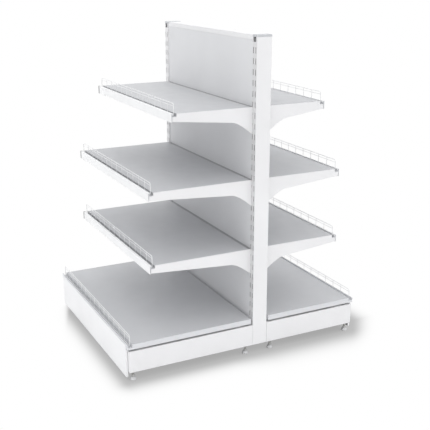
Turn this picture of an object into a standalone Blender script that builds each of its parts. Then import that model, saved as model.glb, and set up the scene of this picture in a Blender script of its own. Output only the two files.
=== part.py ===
"""Double-sided gondola shelving bay, in metres, +Z up, standing on the floor at Z = 0.

X runs along the bay, and the deep side of the bay faces -Y. Every depth is counted outwards from the
centre plane of the uprights. Each tier is drawn in its own frame, whose origin is on that plane at the
height of the tier's top face.
"""

import math
from dataclasses import dataclass

import bmesh
import bpy
from mathutils import Matrix, Vector

# Back frame
OVERALL_HEIGHT = 1.580
BAY_PITCH = 1.000
UPRIGHT_WIDTH = 0.040
UPRIGHT_DEPTH = 0.080
UPRIGHT_WALL = 0.002
UPRIGHT_CORNER = 0.003
CAP_HEIGHT = 0.010
CAP_PLUG_HEIGHT = 0.008
CAP_PLUG_DEPTH = 0.040
CAP_EDGE = 0.0015

# Slots in both faces of an upright, in two rows, counted from the lowest one
SLOT_PITCH = 0.050
SLOT_HEIGHT = 0.028
SLOT_WIDTH = 0.005
SLOT_ROW = 0.011
SLOT_LOWEST = 0.110
SLOT_TOP_MARGIN = 0.060
LEG_SLOT = 0
TIER_SLOTS = (8, 15, 22)
NOTCH_WIDTH = 0.026
NOTCH_HEIGHT = 0.022

# Rails and panels between the uprights
RAIL_WALL = 0.0015
RAIL_TOP_HEIGHT = 0.022
RAIL_TOP_DROP = 0.002
RAIL_MIDDLE_BOTTOM = 0.670
RAIL_MIDDLE_HEIGHT = 0.040
RAIL_BOTTOM_BOTTOM = 0.060
RAIL_BOTTOM_HEIGHT = 0.030
TONGUE_LENGTH = 0.010
TONGUE_WIDTH = 0.030
TONGUE_THICKNESS = 0.003
PANEL_FACE = 0.036
PANEL_RETURN = 0.012
PANEL_SHEET = 0.0012

# Base
DECK_TOP = 0.190
DECK_FLANGE = 0.027
LEG_BOTTOM = 0.045
LEG_TOP = 0.153
LEG_SHEET = 0.002
LEG_SETBACK = 0.010
DECK_TAB_LENGTH = 0.060
DECK_TAB_THICKNESS = 0.003
DECK_TAB_INSET = 0.050
KICK_BOTTOM = 0.016
KICK_TOP = 0.181
KICK_RETURN = 0.0085
KICK_RETURN_TOP = 0.160
KICK_SHEET = 0.0015
KICK_TAB_WIDTH = 0.012
KICK_TAB_THICKNESS = 0.004
KICK_TAB_INSET = 0.0085
KICK_TAB_HEIGHT = 0.132
KICK_TAB_REACH = 0.024

# Levelling feet
FOOT_REAR_DEPTH = 0.072
FOOT_FRONT_SETBACK = 0.033
FOOT_PAD_RADIUS = 0.015
FOOT_PAD_RIM = 0.004
FOOT_NECK_RADIUS = 0.011
FOOT_PAD_HEIGHT = 0.014
FOOT_COLLAR_RADIUS = 0.0075
FOOT_COLLAR_TOP = 0.022
STUD_RADIUS = 0.005
STUD_TOP = 0.100
BRIDGE_BOTTOM = 0.065
BRIDGE_THICKNESS = 0.003
BRIDGE_LENGTH = 0.036
NUT_RADIUS = 0.0098
NUT_HEIGHT = 0.008

# Depths of the bay, from the centre plane to the front of each tier
DEEP_BASE_DEPTH = 0.710
DEEP_SHELF_DEPTH = 0.575
DEEP_TOP_SHELF_DEPTH = 0.455
SHALLOW_BASE_DEPTH = 0.570
SHALLOW_SHELF_DEPTH = 0.465
SHALLOW_TOP_SHELF_DEPTH = 0.360

# Shelf trays and decks
SHEET = 0.0015
TRAY_REAR = 0.050
TRAY_FLANGE = 0.030
LIP_HEIGHT = 0.038
GROOVE_REAR = 0.025
GROOVE_FRONT = 0.008
GROOVE_DEPTH = 0.014
LIP_TOP_DROP = 0.002
DECK_LIP_INSET = 0.003
DECK_LIP_HEIGHT = 0.026
STIFFENER_HALF = 0.030
STIFFENER_FOOT = 0.014
STIFFENER_DEPTH = 0.018
STIFFENER_SHORT = 0.017

# Ticket strips
STRIP_THICKNESS = 0.002
STRIP_TONGUE = 0.008
STRIP_HOOK = 0.005

# Shelf brackets
SHELF_ABOVE_SLOT = 0.040
BRACKET_THICKNESS = 0.003
BRACKET_TOP_DROP = 0.001
BRACKET_FRONT_GAP = 0.006
BRACKET_FRONT_DEPTH = 0.037
BRACKET_KNEE_DEPTH = 0.066
BRACKET_ROOT_DEPTH = 0.130
BRACKET_KNEE_REACH = 0.105
BRACKET_KNEE_POWER = 1.4
BRACKET_CURVE_STEPS = 6
LEDGE_WIDTH = 0.012
LEDGE_THICKNESS = 0.002
LEDGE_REAR = 0.060
LEDGE_FRONT_GAP = 0.045
HOOK_NECK = 0.002
HOOK_DROP = 0.010
HOOK_THICKNESS = 0.0047
HOOK_COUNT = 2

# Wire fences
FENCE_HEIGHT = 0.045
FENCE_RAIL_RADIUS = 0.0032
FENCE_RAIL_PITCH = 0.012
FENCE_WIRE = 0.003
FENCE_PITCH = 0.075
FENCE_END_GAP = 0.010
FENCE_OVERHANG = 0.004

# Fits
SEAT_GAP = 0.0003
SLOT_GAP = 0.0005
JOIN_OVERLAP = 0.0005
CUT_OVERRUN = 0.002
MERGE_DISTANCE = 0.00001

# Facets of round pieces
ROUND_STEPS = 12
ROD_STEPS = 6
NUT_SIDES = 6
CORNER_STEPS = 2
ROUND_PROFILE = 0.5
SHARP_ANGLE = math.radians(35.0)

# Finishes
WHITE_POWDER = ((0.83, 0.83, 0.84, 1.0), 0.45, 0.0)
WHITE_STRIP = ((0.86, 0.86, 0.86, 1.0), 0.35, 0.0)
GREY_PLASTIC = ((0.60, 0.61, 0.63, 1.0), 0.5, 0.0)
PALE_PLASTIC = ((0.72, 0.72, 0.73, 1.0), 0.5, 0.0)

# Heights and lengths that follow from the sizes above. The centre plane is placed so that the origin
# is under the middle of the whole bay.
CENTRE_Y = (DEEP_BASE_DEPTH - SHALLOW_BASE_DEPTH) / 2
UPRIGHT_TOP = OVERALL_HEIGHT - CAP_HEIGHT - SEAT_GAP
SLOT_COUNT = int((OVERALL_HEIGHT - SLOT_TOP_MARGIN - SLOT_LOWEST) / SLOT_PITCH) + 1
FACE_DEPTH = UPRIGHT_DEPTH / 2
HALF_BAY = BAY_PITCH / 2
HALF_LENGTH = (BAY_PITCH + UPRIGHT_WIDTH) / 2
INNER_X = (BAY_PITCH - UPRIGHT_WIDTH) / 2
RAIL_TOP_TOP = OVERALL_HEIGHT - RAIL_TOP_DROP
BRACKET_X = HALF_BAY - SLOT_ROW
BRACKET_INNER = BRACKET_X - BRACKET_THICKNESS / 2
BRACKET_OUTER = BRACKET_X + BRACKET_THICKNESS / 2
TRAY_HALF = BRACKET_INNER - SEAT_GAP


@dataclass(frozen=True)
class Side:
    """One side of the bay: its name, the way it faces along Y, and its depths from the centre plane."""

    name: str
    sign: int
    base_depth: float
    tier_depths: tuple


@dataclass(frozen=True)
class End:
    """One end of the bay: its name and the way it lies along X."""

    name: str
    sign: int


SIDES = (
    Side("deep", -1, DEEP_BASE_DEPTH, (DEEP_SHELF_DEPTH, DEEP_SHELF_DEPTH, DEEP_TOP_SHELF_DEPTH)),
    Side(
        "shallow", 1, SHALLOW_BASE_DEPTH,
        (SHALLOW_SHELF_DEPTH, SHALLOW_SHELF_DEPTH, SHALLOW_TOP_SHELF_DEPTH)),
)
ENDS = (End("left", -1), End("right", 1))


def slot_height(index):
    """Return the height of the centre of a slot, counted from the lowest one."""
    return SLOT_LOWEST + index * SLOT_PITCH


def clear_scene():
    """Remove every object that is already in the file."""
    for obj in list(bpy.data.objects):
        bpy.data.objects.remove(obj, do_unlink=True)


def make_collection(name):
    """Return a new collection linked to the scene."""
    collection = bpy.data.collections.new(name)
    bpy.context.scene.collection.children.link(collection)
    return collection


def make_material(name, finish):
    """Return a Principled material with the colour, roughness and metallic value of a finish."""
    colour, roughness, metallic = finish
    material = bpy.data.materials.new(name)
    material.use_nodes = True
    shader = material.node_tree.nodes["Principled BSDF"]
    shader.inputs["Base Color"].default_value = colour
    shader.inputs["Roughness"].default_value = roughness
    shader.inputs["Metallic"].default_value = metallic
    material.diffuse_color = colour
    return material


def offset_outline(path, thickness):
    """Return the closed outline of a folded sheet whose one face follows a path.

    The sheet lies on the right-hand side of the path, seen with depth to the right and height up.
    """
    points = [Vector(point) for point in path]
    normals = []
    for start, end in zip(points, points[1:]):
        run = (end - start).normalized()
        normals.append(Vector((run.y, -run.x)))
    inner = [points[0] + normals[0] * thickness]
    for point, before, after in zip(points[1:-1], normals, normals[1:]):
        inner.append(point + (before + after) * (thickness / (1 + before.dot(after))))
    inner.append(points[-1] + normals[-1] * thickness)
    return [tuple(point) for point in points + inner[::-1]]


class Shape:
    """A mesh under construction, made of separate closed bodies."""

    def __init__(self):
        self.bm = bmesh.new()

    def box(self, low, high):
        """Add a box between two corners."""
        low = Vector(low)
        high = Vector(high)
        size = Matrix.Diagonal((*(high - low), 1.0))
        bmesh.ops.create_cube(self.bm, size=1.0, matrix=Matrix.Translation((low + high) / 2) @ size)
        return self

    def side_box(self, sign, span, depths, heights):
        """Add a box given by its X span, its depths on one side of the centre plane and its heights."""
        ys = sorted(sign * depth for depth in depths)
        return self.box((min(span), ys[0], heights[0]), (max(span), ys[1], heights[1]))

    def prism(self, sign, outline, span):
        """Add a depth-height outline extruded along X on one side of the centre plane."""
        curve = bpy.data.curves.new("outline", "CURVE")
        curve.dimensions = "2D"
        curve.fill_mode = "BOTH"
        curve.extrude = abs(span[1] - span[0]) / 2
        spline = curve.splines.new("POLY")
        spline.points.add(len(outline) - 1)
        for point, (depth, height) in zip(spline.points, outline):
            point.co = (depth, height, 0.0, 1.0)
        spline.use_cyclic_u = True
        guide = bpy.data.objects.new("outline", curve)
        mesh = bpy.data.meshes.new_from_object(guide)
        middle = (span[0] + span[1]) / 2
        mesh.transform(Matrix(((0, 0, 1, middle), (sign, 0, 0, 0), (0, 1, 0, 0), (0, 0, 0, 1))))
        self.bm.from_mesh(mesh)
        bmesh.ops.remove_doubles(self.bm, verts=self.bm.verts[:], dist=MERGE_DISTANCE)
        bpy.data.objects.remove(guide)
        bpy.data.curves.remove(curve)
        bpy.data.meshes.remove(mesh)
        return self

    def cylinder(self, centre, radius, heights, steps=ROUND_STEPS):
        """Add an upright cylinder, or a prism where it has few steps."""
        middle = (heights[0] + heights[1]) / 2
        bmesh.ops.create_cone(
            self.bm, cap_ends=True, segments=steps, radius1=radius, radius2=radius,
            depth=heights[1] - heights[0], matrix=Matrix.Translation((centre[0], centre[1], middle)),
        )
        return self

    def rod(self, sign, place, radius, half_length):
        """Add a six-sided rod along X, with flats above and below, at a depth and height."""
        depth, height = place
        bmesh.ops.create_cone(
            self.bm, cap_ends=True, segments=ROD_STEPS, radius1=radius, radius2=radius,
            depth=2 * half_length,
            matrix=Matrix.Translation((0.0, sign * depth, height)) @ Matrix.Rotation(math.pi / 2, 4, "Y"),
        )
        return self

    def profile(self, points):
        """Add an open radius-height profile in the XZ plane, for a Screw modifier to turn."""
        verts = [self.bm.verts.new((radius, 0.0, height)) for radius, height in points]
        for pair in zip(verts, verts[1:]):
            self.bm.edges.new(pair)
        return self

    def mesh(self, name):
        """Return the finished mesh, with its faces turned outwards."""
        bmesh.ops.recalc_face_normals(self.bm, faces=self.bm.faces[:])
        mesh = bpy.data.meshes.new(name)
        self.bm.to_mesh(mesh)
        self.bm.free()
        return mesh


class Builder:
    """Places named parts in one collection and their cutters in another."""

    def __init__(self):
        self.parts = make_collection("gondola_shelving")
        self.cutters = make_collection("gondola_shelving_cutters")

    def part(self, name, shape, finish, location=(0.0, 0.0, 0.0), parent=None):
        """Add one named part with its own material."""
        obj = bpy.data.objects.new(name, shape.mesh(name))
        obj.data.materials.append(make_material(name, finish))
        obj.location = location
        obj.parent = parent
        self.parts.objects.link(obj)
        return obj

    def apply_modifiers(self, obj):
        """Replace a part's mesh with the one that its modifiers make."""
        evaluated = obj.evaluated_get(bpy.context.evaluated_depsgraph_get())
        mesh = bpy.data.meshes.new_from_object(evaluated)
        drawn = obj.data
        obj.modifiers.clear()
        obj.data = mesh
        bpy.data.meshes.remove(drawn)
        mesh.name = obj.name

    def shape_with(self, obj, operation, shape, label):
        """Join a shape to a part, or cut it away, in the part's own frame."""
        name = f"{obj.name}_{label}"
        cutter = bpy.data.objects.new(name, shape.mesh(name))
        cutter.parent = obj
        cutter.hide_render = True
        cutter.display_type = "WIRE"
        self.cutters.objects.link(cutter)
        modifier = obj.modifiers.new(label, "BOOLEAN")
        modifier.operation = operation
        modifier.solver = "EXACT"
        modifier.object = cutter

    def join(self, obj, shape, label):
        """Fuse a shape to a part."""
        self.shape_with(obj, "UNION", shape, label)

    def cut(self, obj, shape, label):
        """Cut a shape out of a part."""
        self.shape_with(obj, "DIFFERENCE", shape, label)


def rail_heights():
    """Return each rail's name, half depth and height span."""
    middle_half = PANEL_FACE - PANEL_RETURN - SEAT_GAP
    return (
        ("rail_top", PANEL_FACE, (RAIL_TOP_TOP - RAIL_TOP_HEIGHT, RAIL_TOP_TOP)),
        ("rail_middle", middle_half, (RAIL_MIDDLE_BOTTOM, RAIL_MIDDLE_BOTTOM + RAIL_MIDDLE_HEIGHT)),
        ("rail_bottom", PANEL_FACE, (RAIL_BOTTOM_BOTTOM, RAIL_BOTTOM_BOTTOM + RAIL_BOTTOM_HEIGHT)),
    )


def tongue_heights(rail_low):
    """Return the height span of the tongues at the ends of a rail, which lie on its lower wall."""
    low = rail_low + JOIN_OVERLAP
    return low, low + TONGUE_THICKNESS


def build_upright(builder, end):
    """Build one slotted tube, drawn about its own centre line."""
    half_x = UPRIGHT_WIDTH / 2
    tube = Shape().box((-half_x, -FACE_DEPTH, LEG_BOTTOM), (half_x, FACE_DEPTH, UPRIGHT_TOP))
    corners = [
        edge for edge in tube.bm.edges
        if abs(edge.verts[0].co.z - edge.verts[1].co.z) > UPRIGHT_DEPTH
    ]
    bmesh.ops.bevel(
        tube.bm, geom=corners, offset=UPRIGHT_CORNER, segments=CORNER_STEPS, profile=ROUND_PROFILE,
        affect="EDGES",
    )
    upright = builder.part(
        f"upright_{end.name}", tube, WHITE_POWDER, (end.sign * HALF_BAY, CENTRE_Y, 0.0))
    inner = Vector((half_x - UPRIGHT_WALL, FACE_DEPTH - UPRIGHT_WALL, 0.0))
    hollow = Shape().box(
        (-inner.x, -inner.y, LEG_BOTTOM - CUT_OVERRUN), (inner.x, inner.y, UPRIGHT_TOP + CUT_OVERRUN))
    builder.cut(upright, hollow, "hollow")
    reach = FACE_DEPTH + CUT_OVERRUN
    slots = Shape()
    for index in range(SLOT_COUNT):
        low = slot_height(index) - SLOT_HEIGHT / 2
        for row in (-SLOT_ROW, SLOT_ROW):
            slots.box(
                (row - SLOT_WIDTH / 2, -reach, low), (row + SLOT_WIDTH / 2, reach, low + SLOT_HEIGHT))
    slots.box(
        (-NOTCH_WIDTH / 2, -reach, UPRIGHT_TOP - NOTCH_HEIGHT),
        (NOTCH_WIDTH / 2, reach, UPRIGHT_TOP + CUT_OVERRUN))
    builder.cut(upright, slots, "slots")
    seats = Shape()
    wall = sorted(-end.sign * x for x in (half_x + CUT_OVERRUN, inner.x - CUT_OVERRUN))
    half_seat = TONGUE_WIDTH / 2 + SEAT_GAP
    for _, _, heights in rail_heights():
        low, high = tongue_heights(heights[0])
        seats.box((wall[0], -half_seat, low - SEAT_GAP), (wall[1], half_seat, high + SEAT_GAP))
    builder.cut(upright, seats, "tongue_seats")


def build_cap(builder, end):
    """Build one plastic cap with a plug that sits inside the upright."""
    half_x = UPRIGHT_WIDTH / 2
    plate = Shape().box((-half_x, -FACE_DEPTH, 0.0), (half_x, FACE_DEPTH, CAP_HEIGHT))
    top_edges = [
        edge for edge in plate.bm.edges if all(vert.co.z > CAP_HEIGHT / 2 for vert in edge.verts)
    ]
    bmesh.ops.bevel(plate.bm, geom=top_edges, offset=CAP_EDGE, segments=1, affect="EDGES")
    location = (end.sign * HALF_BAY, CENTRE_Y, OVERALL_HEIGHT - CAP_HEIGHT)
    cap = builder.part(f"cap_{end.name}", plate, GREY_PLASTIC, location)
    plug_x = half_x - UPRIGHT_WALL - SEAT_GAP
    plug = Shape().box(
        (-plug_x, -CAP_PLUG_DEPTH / 2, -CAP_PLUG_HEIGHT), (plug_x, CAP_PLUG_DEPTH / 2, JOIN_OVERLAP))
    builder.join(cap, plug, "plug")


def build_rail(builder, name, half_depth, heights):
    """Build one tube rail with a flat tongue at each end."""
    half_x = INNER_X - SEAT_GAP
    low, high = heights
    tube = Shape().box((-half_x, -half_depth, low), (half_x, half_depth, high))
    rail = builder.part(name, tube, WHITE_POWDER, (0.0, CENTRE_Y, 0.0))
    hollow = Shape().box(
        (-half_x - CUT_OVERRUN, -half_depth + RAIL_WALL, low + RAIL_WALL),
        (half_x + CUT_OVERRUN, half_depth - RAIL_WALL, high - RAIL_WALL))
    builder.cut(rail, hollow, "hollow")
    tongues = Shape()
    tongue_low, tongue_high = tongue_heights(low)
    for end in ENDS:
        reach = sorted(end.sign * x for x in (half_x - TONGUE_LENGTH, half_x + TONGUE_LENGTH))
        tongues.box(
            (reach[0], -TONGUE_WIDTH / 2, tongue_low), (reach[1], TONGUE_WIDTH / 2, tongue_high))
    builder.join(rail, tongues, "tongues")


def build_panel(builder, side):
    """Build one back panel, a shallow tray between the rails with its open face to the centre plane."""
    half_x = INNER_X - SLOT_GAP
    low = RAIL_BOTTOM_BOTTOM + RAIL_BOTTOM_HEIGHT + SEAT_GAP
    high = RAIL_TOP_TOP - RAIL_TOP_HEIGHT - SEAT_GAP
    inner = PANEL_FACE - PANEL_RETURN
    tray = Shape().side_box(side.sign, (-half_x, half_x), (inner, PANEL_FACE), (low, high))
    panel = builder.part(f"panel_{side.name}", tray, WHITE_POWDER, (0.0, CENTRE_Y, 0.0))
    inside_x = half_x - PANEL_SHEET
    hollow = Shape().side_box(
        side.sign, (-inside_x, inside_x), (inner - CUT_OVERRUN, PANEL_FACE - PANEL_SHEET),
        (low + PANEL_SHEET, high - PANEL_SHEET))
    builder.cut(panel, hollow, "hollow")


def foot_depths(side):
    """Return the depths of the rear and front feet of one side's legs."""
    return (("rear", FOOT_REAR_DEPTH), ("front", side.base_depth - FOOT_FRONT_SETBACK))


def hook_outline(slot_centre, root):
    """Return the depth-height outline of a hook that passes through a slot and drops behind the wall.

    The hook starts at depth root, and its outline runs from the upper end of its neck to the lower.
    """
    behind = FACE_DEPTH - UPRIGHT_WALL - SEAT_GAP
    seat = slot_centre - SLOT_HEIGHT / 2 + SEAT_GAP
    top = slot_centre + HOOK_NECK
    return [
        (root, top), (behind - HOOK_THICKNESS, top), (behind - HOOK_THICKNESS, seat - HOOK_DROP),
        (behind, seat - HOOK_DROP), (behind, seat), (root, seat),
    ]


def build_foot(builder, name, place):
    """Build one levelling foot: a pad, a collar and a stud, turned about the screw's axis."""
    profile = (
        (0.0, STUD_TOP), (STUD_RADIUS, STUD_TOP), (STUD_RADIUS, FOOT_COLLAR_TOP),
        (FOOT_COLLAR_RADIUS, FOOT_COLLAR_TOP), (FOOT_COLLAR_RADIUS, FOOT_PAD_HEIGHT),
        (FOOT_NECK_RADIUS, FOOT_PAD_HEIGHT), (FOOT_PAD_RADIUS, FOOT_PAD_RIM),
        (FOOT_PAD_RADIUS, 0.0), (0.0, 0.0),
    )
    foot = builder.part(name, Shape().profile(profile), PALE_PLASTIC, place)
    turned = foot.modifiers.new("turned", "SCREW")
    turned.steps = ROUND_STEPS
    turned.render_steps = ROUND_STEPS
    turned.use_merge_vertices = True
    turned.merge_threshold = MERGE_DISTANCE
    builder.apply_modifiers(foot)
    foot.data.shade_smooth()
    foot.data.set_sharp_from_angle(angle=SHARP_ANGLE)


def build_leg(builder, side, end):
    """Build one base leg, a box open below, hooked into the upright, with a weld nut for each foot."""
    half_x = UPRIGHT_WIDTH / 2
    rear = FACE_DEPTH + SEAT_GAP
    front = side.base_depth - LEG_SETBACK
    name = f"leg_{side.name}_{end.name}"
    case = Shape().side_box(side.sign, (-half_x, half_x), (rear, front), (LEG_BOTTOM, LEG_TOP))
    leg = builder.part(name, case, WHITE_POWDER, (end.sign * HALF_BAY, CENTRE_Y, 0.0))
    inside_x = half_x - LEG_SHEET
    hollow = Shape().side_box(
        side.sign, (-inside_x, inside_x), (rear + LEG_SHEET, front - LEG_SHEET),
        (LEG_BOTTOM - CUT_OVERRUN, LEG_TOP - LEG_SHEET))
    builder.cut(leg, hollow, "hollow")
    bridge_top = BRIDGE_BOTTOM + BRIDGE_THICKNESS
    nut_top = bridge_top + NUT_HEIGHT
    nuts = Shape()
    holes = Shape()
    fittings = Shape()
    for label, depth in foot_depths(side):
        axis = (0.0, side.sign * depth)
        nuts.cylinder(axis, NUT_RADIUS, (bridge_top - JOIN_OVERLAP, nut_top), NUT_SIDES)
        holes.cylinder(axis, STUD_RADIUS + SEAT_GAP, (BRIDGE_BOTTOM - CUT_OVERRUN, nut_top + CUT_OVERRUN))
        build_foot(
            builder, f"foot_{side.name}_{end.name}_{label}",
            (end.sign * HALF_BAY, CENTRE_Y + side.sign * depth, 0.0))
        fittings.side_box(
            side.sign, (-inside_x - JOIN_OVERLAP, inside_x + JOIN_OVERLAP),
            (depth - BRIDGE_LENGTH / 2, depth + BRIDGE_LENGTH / 2),
            (BRIDGE_BOTTOM, bridge_top))
    for start in (rear + DECK_TAB_INSET, front - DECK_TAB_INSET - DECK_TAB_LENGTH):
        fittings.side_box(
            side.sign, (-DECK_TAB_THICKNESS / 2, DECK_TAB_THICKNESS / 2), (start, start + DECK_TAB_LENGTH),
            (LEG_TOP - JOIN_OVERLAP, DECK_TOP - SHEET - SEAT_GAP))
    hook = hook_outline(slot_height(LEG_SLOT), rear + JOIN_OVERLAP)
    for row in (-SLOT_ROW, SLOT_ROW):
        fittings.prism(side.sign, hook, (row - BRACKET_THICKNESS / 2, row + BRACKET_THICKNESS / 2))
    builder.join(leg, fittings, "fittings")
    builder.join(leg, nuts, "nuts")
    tab_x = -end.sign * KICK_TAB_INSET
    tab_half = KICK_TAB_WIDTH / 2 + SLOT_GAP
    tab_z = KICK_TAB_THICKNESS / 2 + SLOT_GAP
    holes.side_box(
        side.sign, (tab_x - tab_half, tab_x + tab_half),
        (front - LEG_SHEET - CUT_OVERRUN, front + CUT_OVERRUN),
        (KICK_TAB_HEIGHT - tab_z, KICK_TAB_HEIGHT + tab_z))
    builder.cut(leg, holes, "holes")


def build_kick(builder, side):
    """Build one kick plate: a face with returns at its foot and ends, and a tab into each leg."""
    front = side.base_depth
    back = front - KICK_RETURN
    face_back = front - KICK_SHEET
    plate = Shape().side_box(side.sign, (-HALF_BAY, HALF_BAY), (back, front), (KICK_BOTTOM, KICK_TOP))
    kick = builder.part(f"kick_{side.name}", plate, WHITE_POWDER, (0.0, CENTRE_Y, 0.0))
    inside_x = HALF_BAY - KICK_SHEET
    hollow = Shape().side_box(
        side.sign, (-inside_x, inside_x), (back - CUT_OVERRUN, face_back),
        (KICK_BOTTOM + KICK_SHEET, KICK_TOP + CUT_OVERRUN))
    builder.cut(kick, hollow, "hollow")
    over_x = HALF_BAY + CUT_OVERRUN
    relief = Shape().side_box(
        side.sign, (-over_x, over_x), (back - CUT_OVERRUN, face_back),
        (KICK_RETURN_TOP, KICK_TOP + CUT_OVERRUN))
    builder.cut(kick, relief, "relief")
    tabs = Shape()
    for end in ENDS:
        middle = end.sign * (HALF_BAY - KICK_TAB_INSET)
        tabs.side_box(
            side.sign, (middle - KICK_TAB_WIDTH / 2, middle + KICK_TAB_WIDTH / 2),
            (front - KICK_TAB_REACH, front - KICK_SHEET + JOIN_OVERLAP),
            (KICK_TAB_HEIGHT - KICK_TAB_THICKNESS / 2, KICK_TAB_HEIGHT + KICK_TAB_THICKNESS / 2))
    builder.join(kick, tabs, "tabs")


def build_tray(builder, name, side, front, lip_face, lip_drop, flange, half_main, half_front, top):
    """Build a shelf tray or deck: a folded sheet with a front groove, end flanges and a stiffener.

    The lip's outer face is at depth lip_face, and its lower edge lip_drop below the top. The main sheet
    and the front channel have their own half lengths.
    """
    groove_rear = front - GROOVE_REAR
    groove_front = front - GROOVE_FRONT + SEAT_GAP
    fold = -LIP_TOP_DROP - SEAT_GAP
    main = offset_outline(
        [(TRAY_REAR, JOIN_OVERLAP - flange), (TRAY_REAR, 0.0), (groove_rear - JOIN_OVERLAP, 0.0)], SHEET)
    tray = builder.part(
        name, Shape().prism(side.sign, main, (-half_main, half_main)), WHITE_POWDER, (0.0, CENTRE_Y, top))
    channel = offset_outline(
        [(groove_rear, -JOIN_OVERLAP), (groove_rear, -GROOVE_DEPTH), (groove_front, -GROOVE_DEPTH),
         (groove_front, fold), (lip_face, fold), (lip_face, -lip_drop)], SHEET)
    builder.join(tray, Shape().prism(side.sign, channel, (-half_front, half_front)), "channel")
    below_groove = -GROOVE_DEPTH - SHEET + JOIN_OVERLAP
    lip_back = lip_face - SHEET + JOIN_OVERLAP
    end_flange = [
        (TRAY_REAR + JOIN_OVERLAP, -flange), (lip_back, -flange), (lip_back, below_groove),
        (groove_rear - JOIN_OVERLAP, below_groove), (groove_rear - JOIN_OVERLAP, -JOIN_OVERLAP),
        (TRAY_REAR + JOIN_OVERLAP, -JOIN_OVERLAP),
    ]
    folds = Shape()
    for end in ENDS:
        outer = half_main - JOIN_OVERLAP
        folds.prism(side.sign, end_flange, (end.sign * (outer - SHEET), end.sign * outer))
    builder.join(tray, folds, "end_flanges")
    middle = (TRAY_REAR + groove_rear) / 2
    foot = -SHEET + JOIN_OVERLAP
    hat = offset_outline(
        [(middle - STIFFENER_HALF - STIFFENER_FOOT, foot), (middle - STIFFENER_HALF, foot),
         (middle - STIFFENER_HALF, -STIFFENER_DEPTH), (middle + STIFFENER_HALF, -STIFFENER_DEPTH),
         (middle + STIFFENER_HALF, foot), (middle + STIFFENER_HALF + STIFFENER_FOOT, foot)], SHEET)
    half_hat = half_main - STIFFENER_SHORT
    builder.join(tray, Shape().prism(side.sign, hat, (-half_hat, half_hat)), "stiffener")
    return tray


def build_fence(builder, name, side, front, half_length, parent):
    """Build one welded wire fence, standing in the front groove of its tray."""
    depth = front - (GROOVE_REAR + STRIP_TONGUE + STRIP_THICKNESS) / 2
    flat = FENCE_RAIL_RADIUS * math.cos(math.pi / ROD_STEPS)
    lowest = -GROOVE_DEPTH + SEAT_GAP + flat
    highest = FENCE_HEIGHT - flat
    half_rail = half_length - FENCE_END_GAP
    rails = Shape()
    for height in (lowest, highest - FENCE_RAIL_PITCH, highest):
        rails.rod(side.sign, (depth, height), FENCE_RAIL_RADIUS, half_rail)
    fence = builder.part(f"fence_{name}", rails, WHITE_POWDER, parent=parent)
    half_wires = half_rail - FENCE_OVERHANG
    gaps = round(2 * half_wires / FENCE_PITCH)
    wires = Shape()
    for index in range(gaps + 1):
        middle = -half_wires + index * 2 * half_wires / gaps
        wires.side_box(
            side.sign, (middle - FENCE_WIRE / 2, middle + FENCE_WIRE / 2),
            (depth - FENCE_WIRE / 2, depth + FENCE_WIRE / 2), (lowest, highest))
    builder.join(fence, wires, "wires")


def build_strip(builder, name, side, front, parent):
    """Build one ticket strip, clipped over the front lip of its shelf."""
    path = [
        (front - STRIP_TONGUE - STRIP_THICKNESS, -STRIP_TONGUE),
        (front - STRIP_TONGUE - STRIP_THICKNESS, 0.0), (front, 0.0),
        (front, -LIP_HEIGHT - STRIP_THICKNESS), (front - STRIP_HOOK, -LIP_HEIGHT - STRIP_THICKNESS),
    ]
    section = offset_outline(path, STRIP_THICKNESS)
    shape = Shape().prism(side.sign, section, (-BRACKET_OUTER, BRACKET_OUTER))
    builder.part(f"strip_{name}", shape, WHITE_STRIP, parent=parent)


def bracket_outline(front):
    """Return the depth-height outline of a bracket plate with its hooks."""
    face = FACE_DEPTH + SEAT_GAP
    tip = front - BRACKET_FRONT_GAP
    step_back = front - GROOVE_REAR - SHEET - SLOT_GAP
    under_groove = -GROOVE_DEPTH - SHEET - SLOT_GAP
    knee = face + BRACKET_KNEE_REACH
    outline = [
        (face, -BRACKET_TOP_DROP), (step_back, -BRACKET_TOP_DROP), (step_back, under_groove),
        (tip, under_groove), (tip, -BRACKET_FRONT_DEPTH),
    ]
    for step in range(BRACKET_CURVE_STEPS + 1):
        share = step / BRACKET_CURVE_STEPS
        drop = (BRACKET_ROOT_DEPTH - BRACKET_KNEE_DEPTH) * share ** BRACKET_KNEE_POWER
        outline.append((knee + (face - knee) * share, -BRACKET_KNEE_DEPTH - drop))
    hooks = []
    for index in range(HOOK_COUNT):
        hooks += hook_outline(-SHELF_ABOVE_SLOT - index * SLOT_PITCH, face)
    return outline + hooks[::-1]


def build_bracket(builder, name, side, end, front, top):
    """Build one bracket plate with the ledge that carries the end of the shelf."""
    spans = sorted((end.sign * BRACKET_INNER, end.sign * BRACKET_OUTER))
    plate = Shape().prism(side.sign, bracket_outline(front), spans)
    bracket = builder.part(
        f"bracket_{name}_{end.name}", plate, WHITE_POWDER, (0.0, CENTRE_Y, top))
    ledge_top = -TRAY_FLANGE - SEAT_GAP
    ledge = Shape().side_box(
        side.sign,
        (end.sign * (BRACKET_INNER - LEDGE_WIDTH), end.sign * (BRACKET_INNER + JOIN_OVERLAP)),
        (LEDGE_REAR, front - LEDGE_FRONT_GAP), (ledge_top - LEDGE_THICKNESS, ledge_top))
    builder.join(bracket, ledge, "ledge")


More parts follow.
